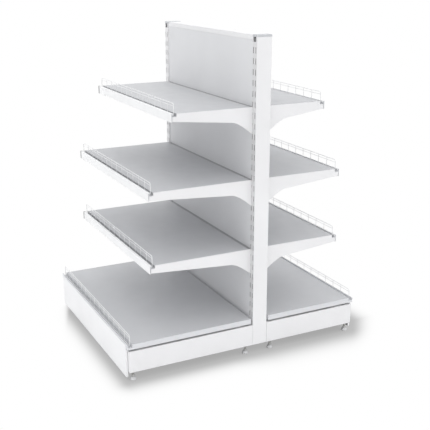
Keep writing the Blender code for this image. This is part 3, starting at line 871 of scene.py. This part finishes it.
class ThreadPattern(Pattern):
    """A rolled screw thread about Z: a core with one ridge wound round it.

    The ridge's radius, and how far the core lies under the crest, are shares of the pitch.
    """

    RIDGE_SHARE: float = 0.5
    CORE_SHARE: float = 0.55
    RIDGE_SIDES: int = 4
    CORE_SIDES: int = 20

    def __init__(self) -> None:
        """Build the tree."""
        super().__init__("rolled_thread")
        radius, pitch, low, high = map(self.size, ("Radius", "Pitch", "Low", "High"))
        steps = self.size("Steps", "NodeSocketInt")
        length = self.math("SUBTRACT", high, low)
        core = self.math("SUBTRACT", radius, self.math("MULTIPLY", pitch, self.CORE_SHARE))
        ridge = self.math("MULTIPLY", pitch, self.RIDGE_SHARE)
        run = self.math("SUBTRACT", length, pitch)
        middle = self.math("SUBTRACT", radius, ridge)
        helix = self.add("GeometryNodeCurveSpiral", {
            "Resolution": steps, "Rotations": self.math("DIVIDE", run, pitch),
            "Start Radius": middle, "End Radius": middle, "Height": run,
        }).outputs["Curve"]
        raised = self.math("ADD", low, ridge)
        placed = self.add("GeometryNodeTransform", {
            "Geometry": self.tube(helix, ridge, self.RIDGE_SIDES),
            "Translation": self.point(0.0, 0.0, raised),
        }).outputs["Geometry"]
        axis = self.line(self.point(0.0, 0.0, low), self.point(0.0, 0.0, high))
        self.close(placed, self.tube(axis, core, self.CORE_SIDES))


def piece_object(name: str, mesh: bpy.types.Mesh) -> bpy.types.Object:
    """Return a new piece that is linked to the scene, at the origin.

    Args:
        name: the piece's name.
        mesh: its mesh, already in place.

    Returns:
        The piece.
    """
    piece = bpy.data.objects.new(name, mesh)
    bpy.context.scene.collection.objects.link(piece)
    return piece


def dress(node: str, finish: Finish) -> None:
    """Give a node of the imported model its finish.

    Args:
        node: the node's name.
        finish: the finish that it takes.
    """
    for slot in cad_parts[node].material_slots:
        slot.material = finish.material()
    LOG.info("%s wears %s", node, finish.name)


def stand_for(piece: bpy.types.Object, node: str) -> None:
    """Let a piece ride in a node's place and be shown instead of it.

    Args:
        piece: the finished piece.
        node: the node that it replaces, which names its body too.
    """
    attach(piece, node)
    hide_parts(node)
    LOG.info("%s stands for %s", piece.name, node)


@dataclass(frozen=True)
class BackFrame:
    """Uprights with their caps, the rails between them and the two back panels.

    The painted shades of an upright are those of its inside and of its slotted faces.
    """

    rails: tuple[str, ...] = ("rail_top", "rail_middle", "rail_bottom")
    tube_wall: float = 0.002
    # How far down from the top the inside of an upright stays free of painted shade.
    unshaded_top: float = 0.045
    # Painted shades, inside and on the slotted faces, of the left and the right upright.
    left_shades: tuple[float, float] = (0.80, 0.97)
    right_shades: tuple[float, float] = (0.14, 0.84)
    panel_colour: Colour = (0.778, 0.780, 0.793)
    panel_roughness: float = 0.50

    def tube_coat(self, end: End) -> TubeCoat:
        """Return the finish of a slotted upright, fitted to where both stand.

        Args:
            end: the end that the upright stands at. The left one has paler painted shades inside and on its
                slotted faces.

        Returns:
            The finish.
        """
        painted_inside, slot_shaded = self.left_shades if end is End.LEFT else self.right_shades
        low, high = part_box("upright_right")
        middle = (low + high) / 2
        half = (high - low) / 2
        return TubeCoat(
            f"white_tube_coat_{end.value}", WHITE_FRAME.colour, WHITE_FRAME.roughness,
            centre=(middle.x, middle.y),
            inside_half=(half.x - self.tube_wall / 2, half.y - self.tube_wall / 2),
            bare_top=high.z - self.unshaded_top, bare_shade=painted_inside, rubbed_shade=slot_shaded)

    def panel_coat(self, side: Side) -> PanelCoat:
        """Return the finish of one side's back panel, with a painted shadow behind each shelf."""
        tops = tuple(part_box(f"shelf_{side.label}_{tier.value}")[1].z for tier in Tier if tier.is_shelf)
        return PanelCoat(
            f"white_panel_{side.label}_coat", self.panel_colour, self.panel_roughness, shadow_tops=tops)

    def build(self) -> None:
        """Dress the frame's nodes."""
        for end in End:
            dress(f"upright_{end.value}", self.tube_coat(end))
            dress(f"cap_{end.value}", GREY_CAP)
        for rail in self.rails:
            dress(rail, WHITE_FRAME)
        for side in Side:
            dress(f"panel_{side.label}", self.panel_coat(side))


@dataclass(frozen=True)
class LevellingFoot:
    """A plastic pad with a hexagon collar, on a threaded stud.

    The hollow under the pad and the edge of its tread are shares of the pad's radius.
    """

    pattern: ThreadPattern
    hollow_height: float = 0.0006
    hollow_share: float = 0.55
    tread_share: float = 0.62
    rim_height: float = 0.0042
    rim_round: float = 0.0012
    rim_steps: int = 4
    neck_radius: float = 0.0108
    neck_flare: float = 0.001
    neck_height: float = 0.002
    neck_round: tuple[float, float] = (0.0008, 0.0006)
    pad_height: float = 0.014
    collar_sides: int = 6
    collar_radius: float = 0.0075
    collar_top: float = 0.022
    collar_round: float = 0.0006
    collar_steps: int = 2
    stud_radius: float = 0.005
    stud_sink: float = 0.001
    pitch: float = 0.0015
    turn_steps: int = 14
    round_steps: int = 40
    sharp_degrees: float = 40.0

    def profile(self, radius: float) -> list[tuple[float, float]]:
        """Return the pad's outline from its underside up, as radius and height.

        Args:
            radius: the pad's outer radius.

        Returns:
            The outline's points.
        """
        turns = [step * math.pi / 2 / self.rim_steps for step in range(self.rim_steps + 1)]
        rounding = [
            (radius - self.rim_round * (1 - math.sin(turn)), self.rim_round * (1 - math.cos(turn)))
            for turn in turns
        ]
        inset, drop = self.neck_round
        return [
            (0.0, self.hollow_height), (radius * self.hollow_share, self.hollow_height),
            (radius * self.tread_share, 0.0), *rounding,
            (radius, self.rim_height - self.rim_round), (radius - self.rim_round / 2, self.rim_height),
            (self.neck_radius + self.neck_flare, self.pad_height - self.neck_height),
            (self.neck_radius, self.pad_height - drop),
            (self.neck_radius - inset, self.pad_height), (0.0, self.pad_height),
        ]

    def turn_pad(self, bm: bmesh.types.BMesh, radius: float) -> None:
        """Make the pad and its collar, standing on the origin.

        Args:
            bm: the empty mesh that they go into.
            radius: the pad's outer radius.
        """
        points = [bm.verts.new((r, 0.0, z)) for r, z in self.profile(radius)]
        edges = [bm.edges.new(pair) for pair in zip(points, points[1:])]
        bmesh.ops.spin(bm, geom=points + edges, cent=(0, 0, 0), axis=(0, 0, 1), angle=math.tau,
                       steps=self.round_steps, use_merge=True)
        bmesh.ops.remove_doubles(bm, verts=bm.verts[:], dist=MERGE_DISTANCE)
        collar = bmesh.ops.create_cone(
            bm, cap_ends=True, segments=self.collar_sides, radius1=self.collar_radius,
            radius2=self.collar_radius, depth=self.collar_top - self.pad_height,
            matrix=Matrix.Translation((0, 0, (self.collar_top + self.pad_height) / 2)))
        rims = {edge for vert in collar["verts"] for edge in vert.link_edges}
        bmesh.ops.bevel(
            bm, geom=list(rims), offset=self.collar_round, segments=self.collar_steps, profile=0.5,
            affect="EDGES")
        bmesh.ops.recalc_face_normals(bm, faces=bm.faces[:])

    def build(self, node: str) -> None:
        """Make the foot that stands for a node.

        Args:
            node: the foot's node, which is also its body.
        """
        low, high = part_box(node)
        axis = Vector(((low.x + high.x) / 2, (low.y + high.y) / 2, low.z))
        bm = bmesh.new()
        self.turn_pad(bm, (high.x - low.x) / 2)
        body_faces = len(bm.faces)
        thread = self.pattern.mesh(f"{node}_thread", {
            "Radius": self.stud_radius, "Pitch": self.pitch, "Low": self.collar_top - self.stud_sink,
            "High": high.z - low.z, "Steps": self.turn_steps,
        }, ZINC_STUD)
        bm.from_mesh(thread)
        bpy.data.meshes.remove(thread)
        bm.faces.ensure_lookup_table()
        for face in bm.faces[body_faces:]:
            face.material_index = 1
        bm.transform(Matrix.Translation(axis))
        mesh = bpy.data.meshes.new(f"levelling_{node}")
        bm.to_mesh(mesh)
        bm.free()
        mesh.materials.append(PALE_FOOT.material())
        mesh.materials.append(ZINC_STUD.material())
        mesh.shade_smooth()
        mesh.set_sharp_from_angle(angle=math.radians(self.sharp_degrees))
        stand_for(piece_object(mesh.name, mesh), node)


@dataclass(frozen=True)
class WireFence:
    """The welded wire fence that stands in the front groove of a tray.

    The wires sink into their welds, to a share of their radius.
    """

    pattern: FencePattern
    rail_radius: float = 0.0015
    wire_radius: float = 0.0011
    rail_pitch: float = 0.012
    wire_pitch: float = 0.075
    bend_radius: float = 0.010
    weld_share: float = 0.7
    sides: int = 12

    def build(self, node: str, side: Side) -> None:
        """Make the fence that stands for a node.

        Args:
            node: the fence's node, which is also its body.
            side: the side of the bay that it stands on.
        """
        low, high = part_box(node)
        half = (high.x - low.x) / 2 - self.rail_radius
        depth = (low.y + high.y) / 2
        upper = high.z - self.rail_radius
        sizes = {
            "Half Length": half, "Depth": depth,
            "Wire Depth": depth - side.sign * (self.rail_radius + self.wire_radius * self.weld_share),
            "Foot Rail": low.z + self.rail_radius, "Lower Rail": upper - self.rail_pitch,
            "Upper Rail": upper, "Bend Radius": self.bend_radius,
            "Rail Radius": self.rail_radius, "Wire Radius": self.wire_radius,
            "Wires": round(2 * half / self.wire_pitch) - 1, "Sides": self.sides,
        }
        mesh = self.pattern.mesh(f"wire_{node}", sizes, WHITE_WIRE)
        stand_for(piece_object(mesh.name, mesh), node)


@dataclass(frozen=True)
class BaySide:
    """Everything that hangs on one side of the back frame.

    A groove's rear wall lies behind the middle of its fence, and its top and foot under the tray's top.
    """

    side: Side
    foot: LevellingFoot
    fence: WireFence
    tray_colour: Colour = (0.85, 0.857, 0.88)
    tray_roughness: float = 0.46
    # Painted shade on the trays' faces that look up.
    tray_shade: float = 0.63
    strip_colour: Colour = (0.92, 0.92, 0.925)
    strip_roughness: float = 0.32
    # How far the painted shade reaches in from a strip's left end.
    end_shade_length: float = 0.018
    # Painted shade on the groove's rear wall, for the shelves and for the deck.
    shelf_cushion: float = 0.50
    deck_cushion: float = 0.72
    wall_behind: float = 0.0075
    wall_half: float = 0.0006
    wall_top: float = 0.0005
    wall_foot: float = 0.0135

    def tray_coat(self, tray: str, fence: str, tier: Tier) -> TrayCoat:
        """Return the finish of one tray, fitted to its groove.

        Args:
            tray: the tray's node.
            fence: the node of the fence that stands in its groove.
            tier: the level that it lies at.

        Returns:
            The finish.
        """
        low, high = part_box(fence)
        middle = (low.y + high.y) / 2 - self.side.sign * self.wall_behind
        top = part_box(tray)[1].z
        return TrayCoat(
            f"white_{tray}_coat", self.tray_colour, self.tray_roughness, top_shade=self.tray_shade,
            wall=(middle, top - (self.wall_top + self.wall_foot) / 2),
            wall_half=(self.wall_half, (self.wall_foot - self.wall_top) / 2),
            cushion_shade=self.shelf_cushion if tier.is_shelf else self.deck_cushion)

    def strip_plastic(self, strip: str) -> ExtrudedPlastic:
        """Return the finish of one ticket strip, with painted shade at the strip's left end."""
        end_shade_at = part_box(strip)[0].x + self.end_shade_length
        return ExtrudedPlastic(f"white_{strip}", self.strip_colour, self.strip_roughness, end_shade_at=end_shade_at)

    def feet(self) -> Iterator[str]:
        """Return the names of the side's feet, one after another."""
        for end in End:
            for place in ("rear", "front"):
                yield f"foot_{self.side.label}_{end.value}_{place}"

    def build(self) -> None:
        """Dress the side's steel and make its feet and fences."""
        label = self.side.label
        for end in End:
            dress(f"leg_{label}_{end.value}", WHITE_FRAME)
        for node in self.feet():
            self.foot.build(node)
        dress(f"kick_{label}", KICK_COAT_PAINTED_LIGHTER)
        for tier in Tier:
            tray = f"shelf_{label}_{tier.value}" if tier.is_shelf else f"deck_{label}"
            fence = f"fence_{label}_{tier.value}"
            dress(tray, self.tray_coat(tray, fence, tier))
            self.fence.build(fence, self.side)
            if tier.is_shelf:
                for end in End:
                    dress(f"bracket_{label}_{tier.value}_{end.value}", WHITE_FRAME)
                strip = f"strip_{label}_{tier.value}"
                dress(strip, self.strip_plastic(strip))


@dataclass(frozen=True)
class Studio:
    """A pale floor, a soft dome of light that is brightest overhead, and the camera.

    The camera's angles are in degrees. Its focal length is in pixels of a frame that is image_pixels wide.
    """

    floor_half: float = 30.0
    floor_colour: Colour = (0.94, 0.94, 0.94)
    floor_roughness: float = 0.9
    zenith: float = 1.46
    horizon: float = 0.16
    falloff: float = 2.0
    dome_tint: Colour = (0.985, 0.992, 1.0)
    azimuth: float = 63.21
    elevation: float = 17.13
    distance: float = 4.40
    aim_height: float = 0.5836
    aside: float = 0.0096
    focal_pixels: float = 810.8
    image_pixels: float = 430.0
    sensor_width: float = 36.0

    def build(self) -> None:
        """Set up the floor, the light and the camera."""
        self.lay_floor()
        self.light()
        self.place_camera()
        view = bpy.context.scene.view_settings
        view.view_transform = "Standard"

    def lay_floor(self) -> None:
        """Lay the floor that the feet stand on, with a painted shadow of the base."""
        bm = bmesh.new()
        bmesh.ops.create_grid(bm, x_segments=1, y_segments=1, size=self.floor_half)
        mesh = bpy.data.meshes.new("studio_floor")
        bm.to_mesh(mesh)
        bm.free()
        low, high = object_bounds()
        finish = StudioFloor(
            "pale_studio_floor", self.floor_colour, self.floor_roughness,
            low=(low[0], low[1]), high=(high[0], high[1]))
        mesh.materials.append(finish.material())
        piece_object("studio_floor", mesh)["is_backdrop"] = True

    def light(self) -> None:
        """Make the dome, which the camera itself sees as plain white."""
        world = bpy.data.worlds.new("studio_dome")
        world.use_nodes = True
        graph = Graph(world.node_tree)
        world.node_tree.nodes.clear()
        way = graph.add("ShaderNodeTexCoord").outputs["Generated"]
        height = graph.axes(way)["Z"]
        low = graph.math("SUBTRACT", 1.0, graph.math("MAXIMUM", height, 0.0))
        share = graph.math("POWER", low, self.falloff)
        strength = graph.span(share, UNIT, (self.zenith, self.horizon))
        dome = graph.add("ShaderNodeBackground", {"Color": (*self.dome_tint, 1.0), "Strength": strength})
        plain = graph.add("ShaderNodeBackground", {"Color": WHITE, "Strength": 1.0})
        chosen = graph.add("ShaderNodeMixShader", {
            0: seen_rays(graph), 1: dome.outputs["Background"], 2: plain.outputs["Background"],
        })
        graph.add("ShaderNodeOutputWorld", {"Surface": chosen.outputs["Shader"]})
        bpy.context.scene.world = world

    def place_camera(self) -> None:
        """Stand the camera where the photograph was taken from."""
        turn, rise = math.radians(self.azimuth), math.radians(self.elevation)
        back = Vector((math.sin(turn) * math.cos(rise), -math.cos(turn) * math.cos(rise), math.sin(rise)))
        right = Vector((math.cos(turn), math.sin(turn), 0.0))
        data = bpy.data.cameras.new("camera")
        data.sensor_width = self.sensor_width
        data.lens = self.focal_pixels / self.image_pixels * self.sensor_width
        camera = bpy.data.objects.new("camera", data)
        low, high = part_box("upright_right")
        aim = Vector((0.0, (low.y + high.y) / 2, self.aim_height))
        camera.location = aim + right * self.aside + back * self.distance
        camera.rotation_mode = "QUATERNION"
        camera.rotation_quaternion = (-back).to_track_quat("-Z", "Y")
        bpy.context.scene.collection.objects.link(camera)
        bpy.context.scene.camera = camera


def main() -> None:
    """Dress the whole bay and set up the studio."""
    logging.basicConfig(level=logging.INFO, format="%(name)s: %(message)s")
    BackFrame().build()
    foot = LevellingFoot(ThreadPattern())
    fence = WireFence(FencePattern())
    for side in Side:
        BaySide(side, foot, fence).build()
    Studio().build()


if __name__ == "__main__":
    main()
